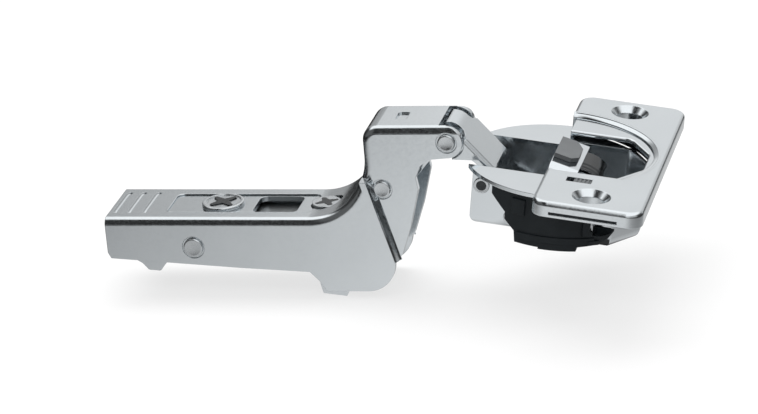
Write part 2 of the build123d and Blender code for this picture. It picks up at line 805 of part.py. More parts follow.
# Cup shell: a drawn pocket under a round rim, open at the link end
well_half = cup_radius - damper_room
well_outer = well_half + cup_sheet
damper_lever_half = well_half - damper_lever_room
rim_step_u = well_start_u + cup_sheet + 0.1
with BuildPart() as cup_shell:
    with BuildSketch(cup_plane.offset(-wing_top)):
        Circle(rim_radius)
        with Locations((rim_step_u + rim_radius, 0)):
            Rectangle(2 * rim_radius, 2 * rim_radius, mode=Mode.SUBTRACT)
    extrude(amount=-cup_sheet)
    with BuildSketch(cup_plane.offset(-cup_sheet)):
        Circle(rim_radius)
        with Locations((rim_step_u - rim_radius, 0)):
            Rectangle(2 * rim_radius, 2 * rim_radius, mode=Mode.SUBTRACT)
    extrude(amount=-(wing_top - cup_sheet) - cup_sheet)
    with BuildSketch(cup_plane.offset(-cup_sheet - cup_sheet)):
        Circle(rim_radius - cup_sheet)
        with Locations((rim_step_u - rim_radius + cup_sheet, 0)):
            Rectangle(2 * rim_radius, 2 * rim_radius, mode=Mode.SUBTRACT)
    extrude(amount=-(wing_top - cup_sheet) - cup_sheet, mode=Mode.SUBTRACT)
    with BuildSketch(cup_plane.offset(-wing_top)):
        with BuildLine():
            Polyline(
                (pocket_end_u, -pocket_half),
                (well_start_u, -pocket_half),
                (well_start_u, -well_outer),
                (12.3, -well_outer),
                (well_end_u + cup_sheet - 0.2, -4.2),
                (well_end_u + cup_sheet - 0.2, 4.2),
                (12.3, well_outer),
                (well_start_u, well_outer),
                (well_start_u, pocket_half),
                (pocket_end_u, pocket_half),
                close=True,
            )
        make_face()
    extrude(amount=-(cup_depth - wing_top))
    fillet(cup_shell.faces().sort_by(cup_axis)[0].edges(), 2.0)
    with BuildSketch(cup_plane.offset(1)):
        with BuildLine():
            Polyline(
                (pocket_end_u + cup_sheet, -wall_inner_half),
                (well_start_u + cup_sheet, -wall_inner_half),
                (well_start_u + cup_sheet, -well_half),
                (11.8, -well_half),
                (well_end_u, -3.8),
                (well_end_u, 3.8),
                (11.8, well_half),
                (well_start_u + cup_sheet, well_half),
                (well_start_u + cup_sheet, wall_inner_half),
                (pocket_end_u + cup_sheet, wall_inner_half),
                close=True,
            )
        make_face()
        fillet(vertices().filter_by(lambda v: v.X > 11), well_corner_radius)
    extrude(amount=-(cup_depth - cup_sheet) - 1, mode=Mode.SUBTRACT)
    well_rims = (
        cup_shell.edges()
        .filter_by(lambda e: abs(cup_plane.to_local_coords(e.center()).Z + cup_sheet) < 0.01)
        .filter_by(lambda e: abs(cup_plane.to_local_coords(e.center()).Y) < well_half + 0.01)
        .filter_by(lambda e: 0.5 < cup_plane.to_local_coords(e.center()).X < well_end_u + 0.01)
    )
    fillet(well_rims, rim_bend)
    with BuildSketch(cup_plane.offset(1)):
        with Locations((pocket_end_u, 0)):
            Rectangle(2 * rim_radius + pocket_end_u + 4, 2 * wall_inner_half)
    extrude(amount=-end_sill - 1, mode=Mode.SUBTRACT)
    with BuildSketch(cup_side):
        with Locations(inner_cup_uw):
            Circle(rivet_radius)
        with Locations(outer_cup_uw):
            Circle(outer_pin_radius)
        with Locations((damper_lever_u, damper_lever_w)):
            Circle(stub_radius)
    extrude(amount=well_outer + 1, both=True, mode=Mode.SUBTRACT)
    with BuildSketch(cup_plane.offset(1)):
        with Locations((lock_u, lock_v)):
            Rectangle(lock_slot_length + 2.0, lock_slot_width + 1.0)
    extrude(amount=-wing_top - 2, mode=Mode.SUBTRACT)
cup_shell.part.label = "cup_shell"
export_step(cup_shell.part, "parts/cup_shell.step")

# Flange cap: a drawn tray over the rim with two sunk screw holes
with BuildPart() as flange_cap:
    cap_mid_u = (well_start_u + cap_end_u) / 2
    with BuildSketch(cup_plane):
        with Locations((cap_mid_u, 0)):
            RectangleRounded(cap_end_u - well_start_u, 2 * cap_half_length, cap_corner)
    extrude(amount=-wing_top)
    fillet(flange_cap.faces().sort_by(cup_axis)[-1].edges(), cap_edge_radius)
    with BuildSketch(cup_plane.offset(-cup_sheet)):
        with Locations((cap_mid_u, 0)):
            RectangleRounded(
                cap_end_u - well_start_u - 2 * cup_sheet,
                2 * (cap_half_length - cup_sheet),
                cap_corner - cup_sheet,
            )
    extrude(amount=-wing_top, mode=Mode.SUBTRACT)
    for side in (-1, 1):
        with BuildSketch(cup_plane.offset(-cup_sheet)):
            with Locations((screw_offset_u, side * screw_pitch / 2)):
                Circle(screw_sink_radius + cup_sheet)
        extrude(amount=-(wing_top - cup_sheet))
    with BuildSketch(cup_plane.offset(1)):
        Circle(rim_radius)
        with Locations((0, near_edge_v - rim_radius)):
            Rectangle(4 * rim_radius, 2 * rim_radius, mode=Mode.SUBTRACT)
    extrude(amount=-wing_top - 2, mode=Mode.SUBTRACT)
    with BuildSketch(cup_plane.offset(-cup_sheet)):
        Circle(rim_radius + 0.1)
    extrude(amount=-wing_top, mode=Mode.SUBTRACT)
    with BuildSketch(cup_plane.offset(1)):
        with Locations((screw_offset_u, -screw_pitch / 2), (screw_offset_u, screw_pitch / 2)):
            Circle(screw_hole_radius)
        with Locations((lock_u, lock_v)):
            Rectangle(lock_slot_length, lock_slot_width)
    extrude(amount=-wing_top - 2, mode=Mode.SUBTRACT)
    for side in (-1, 1):
        with BuildSketch(cup_plane):
            with Locations((screw_offset_u, side * screw_pitch / 2)):
                Circle(screw_sink_radius)
        with BuildSketch(cup_plane.offset(-1.2)):
            with Locations((screw_offset_u, side * screw_pitch / 2)):
                Circle(screw_hole_radius)
        loft(mode=Mode.SUBTRACT)
    # A long slot in each end face
    for side in (-1, 1):
        with BuildSketch(cup_side.offset(side * (cap_half_length - cup_sheet - 0.2))):
            with Locations((end_slot_u, end_slot_w)):
                Rectangle(end_slot_length, end_slot_height)
        extrude(amount=side * (cup_sheet + 1), mode=Mode.SUBTRACT)
flange_cap.part.label = "flange_cap"
export_step(flange_cap.part, "parts/flange_cap.step")

# Lock slider: a ribbed tongue in the flange's slot, held by a wider foot
with BuildPart() as lock_slider:
    slider_length = lock_slot_length - lock_travel - 0.3
    slider_u = lock_u + lock_slot_length / 2 - 0.15 - slider_length / 2
    with BuildSketch(cup_plane.offset(-cup_sheet - 0.1)):
        with Locations((slider_u, lock_v)):
            Rectangle(slider_length, lock_slot_width - 0.3)
    extrude(amount=cup_sheet - 0.15)
    with BuildSketch(cup_plane.offset(-cup_sheet - 0.1)):
        with Locations((slider_u, lock_v)):
            Rectangle(slider_length, lock_slot_width + 0.7)
    extrude(amount=-0.8)
    for rib in range(4):
        with BuildSketch(cup_plane.offset(-0.25)):
            with Locations((slider_u + (rib - 1.5) * 0.75, lock_v)):
                Rectangle(0.35, lock_slot_width - 0.3)
        extrude(amount=0.2)
lock_slider.part.label = "lock_slider"
export_step(lock_slider.part, "parts/lock_slider.step")

# Damper housings: plastic segments that fill the round boring beside the pocket
housing_gap = 0.15
damper_length = 13.2
for side, side_name in ((-1, "near"), (1, "far")):
    with BuildPart() as housing:
        with BuildSketch(cup_plane.offset(-wing_top - cup_sheet - 0.05)):
            Circle(cup_radius - 0.2)
            with Locations((0, -side * (50 - pocket_half - housing_gap))):
                Rectangle(100, 100, mode=Mode.SUBTRACT)
            with Locations((50 + well_start_u - housing_gap, -side * (50 - well_outer - housing_gap))):
                Rectangle(100, 100, mode=Mode.SUBTRACT)
        extrude(amount=-(cup_depth - wing_top - cup_sheet) + 0.6)
        with BuildSketch(cup_side):
            with BuildLine():
                Polyline(
                    (-10.9, 0),
                    (-10.7, -6.0),
                    (-7.6, -8.6),
                    (-7.6, -10.0),
                    (-5.5, -11.8),
                    (-5.2, -14.0),
                    (-0.5, -14.1),
                    (-0.5, -20),
                    (6.5, -20),
                    (6.6, -13.6),
                    (10.1, -13.3),
                    (12.0, -12.4),
                    (housing_front_u, -11.0),
                    (housing_front_u, 0),
                    close=True,
                )
            make_face()
        extrude(amount=20, both=True, mode=Mode.INTERSECT)
        bore_plane = Plane(
            origin=cup_plane.from_local_coords(
                Vector(damper_start_u, side * (cup_radius - damper_inset), damper_w)
            ),
            x_dir=(0, 1, 0),
            z_dir=cup_plane.x_dir,
        )
        with BuildSketch(bore_plane):
            Circle(damper_radius + pin_gap)
        extrude(amount=damper_length + 0.1, mode=Mode.SUBTRACT)
        with BuildSketch(bore_plane.offset(damper_length)):
            Circle(damper_radius + 0.5)
        extrude(amount=10, mode=Mode.SUBTRACT)
    housing.part.label = side_name + "_damper_housing"
    export_step(housing.part, "parts/" + side_name + "_damper_housing.step")

    with BuildPart() as cylinder:
        with BuildSketch(bore_plane.offset(damper_length - 9)):
            Circle(damper_radius)
            Circle(damper_rod_radius + pin_gap, mode=Mode.SUBTRACT)
        extrude(amount=8)
        with BuildSketch(bore_plane.offset(damper_length - 1)):
            Circle(damper_radius)
        extrude(amount=1)
        fillet(cylinder.faces().filter_by(bore_plane).sort_by(Axis.X)[-1].edges(), 0.3)
    cylinder.part.label = side_name + "_damper_cylinder"
    export_step(cylinder.part, "parts/" + side_name + "_damper_cylinder.step")

    with BuildPart() as rod:
        with BuildSketch(bore_plane.offset(0.2)):
            Circle(damper_rod_radius)
        extrude(amount=7.4)
        with BuildSketch(bore_plane.offset(0.2)):
            Circle(damper_radius - 0.3)
        extrude(amount=0.8)
    rod.part.label = side_name + "_damper_rod"
    export_step(rod.part, "parts/" + side_name + "_damper_rod.step")

# Lever stubs: two short pins in the well's walls, with a shoulder beside the damper lever
for side, side_name in ((-1, "near"), (1, "far")):
    with BuildPart() as lever_stub:
        with BuildSketch(cup_side.offset(-side * (damper_lever_half - damper_lever_sheet))):
            with Locations((damper_lever_u, damper_lever_w)):
                Circle(stub_radius)
        extrude(amount=-side * (well_outer - damper_lever_half + damper_lever_sheet))
        with BuildSketch(cup_side.offset(-side * (damper_lever_half + 0.1))):
            with Locations((damper_lever_u, damper_lever_w)):
                Circle(stub_radius + 0.6)
        extrude(amount=-side * (well_half - damper_lever_half - 0.1))
    lever_stub.part.label = side_name + "_lever_stub"
    export_step(lever_stub.part, "parts/" + side_name + "_lever_stub.step")

# Damper lever: a plate over the links, bent down into two arms that turn on the stubs
plate_plane = Plane(cup_plane.location * Location((plate_start_u, 0, plate_start_w), (0, plate_slope, 0)))
with BuildPart() as damper_lever:
    with BuildSketch(plate_plane):
        with Locations((plate_length / 2, 0)):
            Rectangle(plate_length, 2 * damper_lever_half)
    extrude(amount=-lever_arm_drop)
    shoulders = (
        damper_lever.edges()
        .filter_by(lambda e: abs(abs(e.center().Y) - damper_lever_half) < 0.01)
        .filter_by(lambda e: abs(plate_plane.to_local_coords(e.center()).Z) < 0.01)
    )
    fillet(shoulders, shoulder_radius)
    with BuildSketch(plate_plane.offset(-damper_lever_sheet)):
        with Locations((plate_length / 2, 0)):
            Rectangle(plate_length + 2, 2 * (damper_lever_half - damper_lever_sheet))
    extrude(amount=-lever_arm_drop, mode=Mode.SUBTRACT)
    with BuildSketch(cup_side):
        with BuildLine():
            Polyline(
                (plate_start_u - 0.6, 1),
                (7, 1),
                (damper_lever_u + 1.2, plate_start_w - 3.2),
                (damper_lever_u + lever_eye_radius, damper_lever_w),
                (damper_lever_u - lever_eye_radius, damper_lever_w),
                (0.6, -3.6),
                (plate_start_u - 0.6, -1.9),
                close=True,
            )
        make_face()
    extrude(amount=well_half, both=True, mode=Mode.INTERSECT)
    for side in (-1, 1):
        with BuildSketch(cup_side.offset(side * (damper_lever_half - damper_lever_sheet))):
            with Locations((damper_lever_u, damper_lever_w)):
                Circle(lever_eye_radius)
        extrude(amount=side * damper_lever_sheet)
    # Curved nose, a sector round the stubs
    with BuildSketch(cup_side):
        with Locations((damper_lever_u, damper_lever_w)):
            Circle(nose_radius)
            Circle(nose_radius - damper_lever_sheet, mode=Mode.SUBTRACT)
        with BuildLine():
            Polyline(
                (damper_lever_u, damper_lever_w),
                (damper_lever_u + 20 * math.cos(nose_from), damper_lever_w + 20 * math.sin(nose_from)),
                (damper_lever_u + 20 * math.cos(nose_to), damper_lever_w + 20 * math.sin(nose_to)),
                close=True,
            )
        make_face(mode=Mode.INTERSECT)
    extrude(amount=nose_half, both=True)
    with BuildSketch(cup_side):
        with Locations((damper_lever_u, damper_lever_w)):
            Circle(stub_radius + pin_gap)
    extrude(amount=well_half, both=True, mode=Mode.SUBTRACT)
damper_lever.part.label = "damper_lever"
export_step(damper_lever.part, "parts/damper_lever.step")

# Damper switch: a plastic tongue that slides sideways on the lever's plate
with BuildPart() as damper_switch:
    with BuildSketch(plate_plane.offset(pin_gap)):
        with BuildLine():
            Polyline(
                (0.1, 4.6),
                (3.2, 4.6),
                (4.7, 2.0),
                (4.7, -2.6),
                (3.4, -4.2),
                (0.1, -4.2),
                close=True,
            )
        make_face()
    extrude(amount=switch_height)
damper_switch.part.label = "damper_switch"
export_step(damper_switch.part, "parts/damper_switch.step")
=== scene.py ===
"""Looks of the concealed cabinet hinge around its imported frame.

The scene is in metres, in the CAD's own frame. Lengths of pieces are written in millimetres.
"""
import json
import math

import bmesh
import bpy
from mathutils import Matrix, Vector


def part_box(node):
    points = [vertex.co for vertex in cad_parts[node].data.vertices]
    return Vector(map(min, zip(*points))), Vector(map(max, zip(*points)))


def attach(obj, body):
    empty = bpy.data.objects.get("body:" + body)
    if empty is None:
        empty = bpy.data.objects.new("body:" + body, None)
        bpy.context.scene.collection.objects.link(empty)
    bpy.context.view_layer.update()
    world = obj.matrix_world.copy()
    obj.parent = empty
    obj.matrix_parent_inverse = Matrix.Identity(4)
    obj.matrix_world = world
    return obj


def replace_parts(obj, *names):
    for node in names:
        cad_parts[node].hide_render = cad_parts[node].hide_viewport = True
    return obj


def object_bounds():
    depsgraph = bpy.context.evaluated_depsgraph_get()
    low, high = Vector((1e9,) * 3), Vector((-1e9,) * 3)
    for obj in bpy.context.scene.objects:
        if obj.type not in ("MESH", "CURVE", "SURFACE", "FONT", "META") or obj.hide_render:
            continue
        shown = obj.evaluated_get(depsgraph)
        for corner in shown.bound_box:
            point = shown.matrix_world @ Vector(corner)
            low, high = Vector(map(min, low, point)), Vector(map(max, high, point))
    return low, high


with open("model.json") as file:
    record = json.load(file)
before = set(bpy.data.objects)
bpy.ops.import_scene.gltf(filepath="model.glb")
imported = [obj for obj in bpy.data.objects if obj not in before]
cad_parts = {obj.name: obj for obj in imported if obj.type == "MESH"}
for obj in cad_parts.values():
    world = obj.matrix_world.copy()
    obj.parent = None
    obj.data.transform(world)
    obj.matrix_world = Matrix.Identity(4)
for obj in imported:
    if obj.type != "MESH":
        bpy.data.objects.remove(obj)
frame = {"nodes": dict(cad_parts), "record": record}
cad_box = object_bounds()
MM = 0.001


# --- Node helpers --------------------------------------------------------------------------------
def add_node(tree, kind, inputs=None, **settings):
    """A shader node with its inputs set to values or linked to other nodes' outputs."""
    made = tree.nodes.new("ShaderNode" + kind)
    for key, value in settings.items():
        setattr(made, key, value)
    for key, value in (inputs or {}).items():
        if isinstance(value, bpy.types.NodeSocket):
            tree.links.new(value, made.inputs[key])
        else:
            made.inputs[key].default_value = value
    return made


def split(tree, vector):
    """The X, Y and Z of a vector."""
    parts = add_node(tree, "SeparateXYZ", {0: vector}).outputs
    return parts["X"], parts["Y"], parts["Z"]


def calc(tree, operation, first, second=0.0):
    """The result of a Math node."""
    return add_node(tree, "Math", {0: first, 1: second}, operation=operation).outputs[0]


def step(tree, value, start, end):
    """Rises smoothly from 0 at the start value to 1 at the end value."""
    inputs = {"Value": value, "From Min": start, "From Max": end}
    return add_node(tree, "MapRange", inputs, interpolation_type="SMOOTHSTEP").outputs["Result"]


def zone(tree, *edges):
    """1 inside a zone and 0 outside, each soft edge a value, where it starts and where it ends."""
    inside = step(tree, *edges[0])
    for edge in edges[1:]:
        inside = calc(tree, "MULTIPLY", inside, step(tree, *edge))
    return inside


def blend(tree, low, high, share):
    """Goes from the low value to the high one as the share goes from 0 to 1."""
    inputs = {"Value": share, "To Min": low, "To Max": high}
    return add_node(tree, "MapRange", inputs).outputs["Result"]


def levels(tree, value, stops):
    """Follows a row of stops, each a value and the level there."""
    low, high = stops[0][0], stops[-1][0]
    inputs = {"Value": value, "From Min": low, "From Max": high}
    ramp = add_node(tree, "ValToRGB", {"Fac": add_node(tree, "MapRange", inputs).outputs["Result"]})
    elements = ramp.color_ramp.elements
    for at, _ in stops[1:-1]:
        elements.new((at - low) / (high - low))
    for element, (_, level) in zip(elements, stops):
        element.color = (level, level, level, 1)
    return ramp.outputs["Color"]


# --- The cup's axes ------------------------------------------------------------------------------
# U runs along the hinge, V across it and W up, from where the cup's axis meets the flange's top
CUP_TILT = math.radians(8.83)
CUP_ORIGIN = Vector((58.62, 0, 15.07))
CUP_U = Vector((math.cos(CUP_TILT), 0, -math.sin(CUP_TILT)))
CUP_W = Vector((math.sin(CUP_TILT), 0, math.cos(CUP_TILT)))


def cup_point(along, across, up):
    """A point given in the cup's axes."""
    return CUP_ORIGIN + CUP_U * along + Vector((0, across, 0)) + CUP_W * up


# --- Materials -----------------------------------------------------------------------------------
NOISE_LOW, NOISE_HIGH = 0.3, 0.7  # nearly all of a noise node's values lie between these


class Shader:
    """A node material on one Principled shader."""

    def __init__(self, name, **sockets):
        self.material = bpy.data.materials.new(name)
        self.material.use_nodes = True
        self.tree = self.material.node_tree
        self.bsdf = self.tree.nodes["Principled BSDF"]
        self.coords = add_node(self.tree, "TexCoord").outputs["Object"]
        for socket, value in sockets.items():
            self.bsdf.inputs[socket.replace("_", " ")].default_value = value

    def link(self, output, socket):
        self.tree.links.new(output, self.bsdf.inputs[socket])

    def linked(self, socket):
        """The output that is linked to a socket of the shader."""
        return self.bsdf.inputs[socket].links[0].from_socket

    def noise(self, scale, detail, stretch=(1, 1, 1)):
        mapped = add_node(self.tree, "Mapping", {"Vector": self.coords, "Scale": stretch})
        inputs = {"Vector": mapped.outputs[0], "Scale": scale, "Detail": detail}
        return add_node(self.tree, "TexNoise", inputs).outputs["Fac"]

    def ramp(self, noise, low, high):
        """Spreads noise over the range between two numbers."""
        inputs = {"Value": noise, "From Min": NOISE_LOW, "From Max": NOISE_HIGH}
        inputs.update({"To Min": low, "To Max": high})
        return add_node(self.tree, "MapRange", inputs).outputs["Result"]

    def mix(self, share, low, high):
        """Blends two colours, each a colour or another node's output."""
        return add_node(self.tree, "Mix", {0: share, 6: low, 7: high}, data_type="RGBA").outputs[2]

    def tint(self, noise, low, high):
        return self.mix(self.ramp(noise, 0.0, 1.0), (*low, 1), (*high, 1))

    def relief(self, height, strength, depth, edge):
        """Bump on top of edges that are rounded by the edge radius."""
        soft = add_node(self.tree, "Bevel", {"Radius": edge}, samples=8).outputs[0]
        inputs = {"Height": height, "Strength": strength, "Distance": depth, "Normal": soft}
        self.link(add_node(self.tree, "Bump", inputs).outputs[0], "Normal")


def plated(name, colours, rough, grain, edge):
    """Nickel plate: fine satin grain, slow colour drift and softened sheet edges."""
    made = Shader(name, Metallic=1.0)
    fine = made.noise(scale=1900, detail=4.0)
    made.link(made.tint(made.noise(scale=90, detail=2.0), *colours), "Base Color")
    made.link(made.ramp(fine, *rough), "Roughness")
    made.relief(fine, strength=grain, depth=0.02 * MM, edge=edge)
    return made


def plastic(name, colours, rough, specular):
    """Moulded plastic with a fine spark-eroded grain."""
    made = Shader(name, Metallic=0.0, Specular_IOR_Level=specular)
    fine = made.noise(scale=3500, detail=4.0)
    made.link(made.tint(made.noise(scale=160, detail=3.0), *colours), "Base Color")
    made.link(made.ramp(fine, *rough), "Roughness")
    made.relief(fine, strength=0.2, depth=0.03 * MM, edge=0.15 * MM)
    return made


def turned(name, colours, scale, rough=(0.22, 0.34)):
    """Turned or drawn steel with fine marks."""
    made = Shader(name, Metallic=1.0)
    marks = made.noise(scale, detail=2.0, stretch=(1, 0.1, 1))
    made.link(made.tint(marks, *colours), "Base Color")
    made.link(made.ramp(marks, *rough), "Roughness")
    made.relief(marks, strength=0.03, depth=0.01 * MM, edge=0.2 * MM)
    return made


SATIN = ((0.695, 0.735, 0.760), (0.725, 0.765, 0.790))
# Painted shade on the clip frame under the arm's window: its colour, and its edges
WINDOW_SHADE_COLOUR = (0.42, 0.44, 0.45, 1)
WINDOW_SHADE_EDGES = ((-6.0 * MM, -4.0 * MM), (8.0 * MM, 6.5 * MM))  # rear and front along X
# Painted shade inside the cup's pocket: its colour, and where the pocket lies
POCKET_SHADE_COLOUR = (0.62, 0.65, 0.67, 1)
POCKET_ROUGHNESS = 0.12  # added to the sheet's own
POCKET_DEPTHS = (3.4, 4.4)  # below the flange's top, where the rougher zone of painted shade starts and is full
POCKET_HALF, WELL_HALF = 8.6 * MM, 10.9 * MM  # half widths inside the narrow part and the well
WELL_EDGE = (57.6 * MM, 58.4 * MM)  # where one widens to the other along X
POCKET_SOFT = 0.2 * MM


def clip_frame_plate():
    """The clip frame's plate, with painted shade: darker under the arm's window, which lies in deep
    shade.
    """
    made = plated("nickel_painted_shade", SATIN, rough=(0.30, 0.38), grain=0.25, edge=0.18 * MM)
    x, _, _ = split(made.tree, made.coords)
    window_shade = zone(made.tree, *((x, *edge) for edge in WINDOW_SHADE_EDGES))
    plain = made.linked("Base Color")
    made.link(made.mix(window_shade, plain, WINDOW_SHADE_COLOUR), "Base Color")
    return made


def cup_shell_plate():
    """The drawn cup is bright outside; inside its pocket, below the wings, it is rougher and darker
    with painted shade.
    """
    made = plated("drawn_nickel", SATIN, rough=(0.08, 0.13), grain=0.10, edge=0.15 * MM)
    tree = made.tree
    x, y, _ = split(tree, made.coords)
    inputs = {0: made.coords, 1: CUP_W}
    height = add_node(tree, "VectorMath", inputs, operation="DOT_PRODUCT").outputs["Value"]
    flange_top = CUP_ORIGIN.dot(CUP_W)
    below_wings = (height, *((flange_top - depth) * MM for depth in POCKET_DEPTHS))
    inner_half = blend(tree, POCKET_HALF, WELL_HALF, step(tree, x, *WELL_EDGE))
    past_wall = calc(tree, "SUBTRACT", calc(tree, "ABSOLUTE", y), inner_half)
    pocket = zone(tree, below_wings, (past_wall, POCKET_SOFT, 0.0))
    # The pocket is rougher, and its colour is darkened there as painted shade
    rougher = calc(tree, "MULTIPLY", pocket, POCKET_ROUGHNESS)
    made.link(calc(tree, "ADD", made.linked("Roughness"), rougher), "Roughness")
    made.link(made.mix(pocket, made.linked("Base Color"), POCKET_SHADE_COLOUR), "Base Color")
    return made


# By material slot, then by node or by the look that a piece asks for
LOOKS = {
    "plated_sheet": plated("satin_nickel", SATIN, rough=(0.15, 0.24), grain=0.4, edge=0.18 * MM),
    "bright_sheet": plated("bright_nickel", SATIN, rough=(0.08, 0.13), grain=0.10, edge=0.15 * MM),
    "pin_steel": turned("turned_steel", ((0.60, 0.63, 0.65), (0.68, 0.71, 0.73)), scale=900),
    "spring_steel": turned("drawn_wire", ((0.36, 0.37, 0.38), (0.46, 0.47, 0.48)), scale=2400),
    "black_plastic": plastic(
        "black_plastic",
        ((0.010, 0.0135, 0.0155), (0.016, 0.0205, 0.0235)),
        rough=(0.40, 0.52),
        specular=0.18,
    ),
    "grey_plastic": plastic(
        "grey_plastic",
        ((0.115, 0.122, 0.127), (0.14, 0.148, 0.153)),
        rough=(0.42, 0.52),
        specular=0.35,
    ),
    "clip_frame": clip_frame_plate(),
    "cup_shell": cup_shell_plate(),
    # Painted shade: nearly black steel for the drum, standing for its shaded, dark reflection
    "drum_painted_shade": plated(
        "drum_painted_shade",
        ((0.045, 0.048, 0.05), (0.06, 0.063, 0.065)),
        rough=(0.10, 0.16),
        grain=0.1,
        edge=0.1 * MM,
    ),
    # Painted shade: nearly black steel for the pins' hollows and the screws' recesses
    "recess_painted_shade": turned(
        "recess_painted_shade", ((0.045, 0.048, 0.05), (0.07, 0.074, 0.078)), scale=1800
    ),
}

SLOT = {row["node"]: row["material_slot"] for row in frame["record"]["subparts"]}
for node_name, node in frame["nodes"].items():
    node.data.materials.clear()
    node.data.materials.append(LOOKS.get(node_name, LOOKS[SLOT[node_name]]).material)


# --- Making pieces -------------------------------------------------------------------------------
SIDES = ((-1, "near"), (1, "far"))  # the way along Y, and the name
SHARP_ANGLE = math.radians(38)
WIRE_SIDES = 12
TURNED_SIDES = 48
POLE = 0.02  # radius of the small last ring in the middle of a turned piece
COIL_STEPS = 24  # in one turn of a spring


def arc(first, sweep, count):
    """Angles from a first one over a sweep, both given in degrees."""
    return [math.radians(first + sweep * place / count) for place in range(count + 1)]


def circle(count):
    """Angles all round."""
    return [2 * math.pi * place / count for place in range(count)]


def solid(name, body, slot, rings, look=None):
    """A smooth closed skin through rings of points in millimetres, riding on one body."""
    count = len(rings[0])
    points = [Vector(point) * MM for ring in rings for point in ring]
    faces = []
    for row in range(len(rings) - 1):
        for col in range(count):
            here, there = row * count, (row + 1) * count
            across = (col + 1) % count
            faces.append((here + col, here + across, there + across, there + col))
    faces.append(tuple(reversed(range(count))))
    faces.append(tuple(range(len(points) - count, len(points))))
    mesh = bpy.data.meshes.new(name)
    mesh.from_pydata(points, [], faces)
    shell = bmesh.new()
    shell.from_mesh(mesh)
    bmesh.ops.recalc_face_normals(shell, faces=shell.faces)
    shell.to_mesh(mesh)
    shell.free()
    mesh.shade_smooth()
    mesh.set_sharp_from_angle(angle=SHARP_ANGLE)
    mesh.materials.append(LOOKS[look or slot].material)
    made = bpy.data.objects.new(name, mesh)
    bpy.context.scene.collection.objects.link(made)
    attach(made, body)
    return made


def wire(name, body, path, radius, slot="spring_steel"):
    """A round wire along a path."""
    rings = []
    side = Vector((0, 0, 1))
    for index, point in enumerate(path):
        ahead = (path[min(index + 1, len(path) - 1)] - path[max(index - 1, 0)]).normalized()
        side = (side - ahead * side.dot(ahead)).normalized()
        up = ahead.cross(side)
        spokes = [side * math.cos(turn) + up * math.sin(turn) for turn in circle(WIRE_SIDES)]
        rings.append([point + spoke * radius for spoke in spokes])
    return solid(name, body, slot, rings)


def coil(centre, radius, first_y, last_y, turns, way):
    """Points of a coil about Y, from its -X side, each Y counted from its centre."""
    points = []
    count = turns * COIL_STEPS
    for place in range(count + 1):
        turn = math.pi + way * 2 * math.pi * place / COIL_STEPS
        y = first_y + (last_y - first_y) * place / count
        points.append(centre + Vector((radius * math.cos(turn), y, radius * math.sin(turn))))
    return points


def box_mm(node_name):
    """A node's lowest and highest corners in millimetres."""
    low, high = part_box(node_name)
    return low / MM, high / MM


def radius_mm(node_name):
    """Radius of a round node that lies along Y or Z."""
    low, high = box_mm(node_name)
    return (high.x - low.x) / 2


def end_faces(node_name):
    """Both ends of a pin along Y: the name, the middle of the face and the way out of it."""
    low, high = box_mm(node_name)
    for (way, side_name), y in zip(SIDES, (low.y, high.y)):
        middle = Vector(((low.x + high.x) / 2, y, (low.z + high.z) / 2))
        yield side_name, middle, Vector((0, way, 0))


def turned_piece(name, body, middle, outward, profile, look=None):
    """A piece turned about Y: its profile goes from the rim inwards in radii and heights."""
    first = Vector((1, 0, 0))
    second = outward.cross(first)
    spokes = [first * math.cos(turn) + second * math.sin(turn) for turn in circle(TURNED_SIDES)]
    rings = []
    for radius, height in profile:
        rings.append([middle + outward * height + spoke * radius for spoke in spokes])
    return solid(name, body, "pin_steel", rings, look)


# --- Rivets, pins and screws ---------------------------------------------------------------------
# Struck heads of the three rivets: a bevelled rim round a shallow dish. Each ring of the profile
# is given by how far it lies outside the rivet's own radius, and by its height over the end face.
HEAD_RINGS = ((0.02, -0.3), (0.02, -0.12), (-0.08, 0.02), (-0.2, 0.08), (-0.34, 0.08), (-0.5, 0.03))
HEAD_MIDDLE = 0.03
RIVET_BODIES = (
    ("rear_rivet", "depth_carrier"),
    ("inner_link_rivet", "arm"),
    ("outer_link_rivet", "arm"),
)
for rivet, body in RIVET_BODIES:
    rivet_radius = radius_mm(rivet)
    head = [(rivet_radius + out, height) for out, height in HEAD_RINGS] + [(POLE, HEAD_MIDDLE)]
    for side_name, middle, outward in end_faces(rivet):
        turned_piece(f"{rivet}_{side_name}_head", body, middle, outward, head)

# Ends of the cup's pins: a bright rim, and a dark disc in it, painted shade that stands for the
# shaded hollow
RIM_RINGS = ((0.0, -0.2), (0.0, 0.0), (-0.1, 0.05), (-0.25, 0.02))
RIM_SHARE = 0.7  # of the pin's radius, where the rim comes down to the face again
RIM_MIDDLE = -0.02
HOLLOW_RINGS = ((0.66, -0.02), (0.64, 0.015))  # share of the pin's radius, and height
HOLLOW_MIDDLE = 0.012
for pin in ("inner_link_pin", "outer_link_pin"):
    pin_radius = radius_mm(pin)
    rim = [(pin_radius + out, height) for out, height in RIM_RINGS]
    rim += [(RIM_SHARE * pin_radius, 0.0), (POLE, RIM_MIDDLE)]
    hollow = [(share * pin_radius, height) for share, height in HOLLOW_RINGS]
    hollow += [(POLE, HOLLOW_MIDDLE)]
    for side_name, middle, outward in end_faces(pin):
        turned_piece(f"{pin}_{side_name}_rim", "cup", middle, outward, rim)
        turned_piece(f"{pin}_{side_name}_hollow", "cup", middle, outward, hollow, "recess_painted_shade")
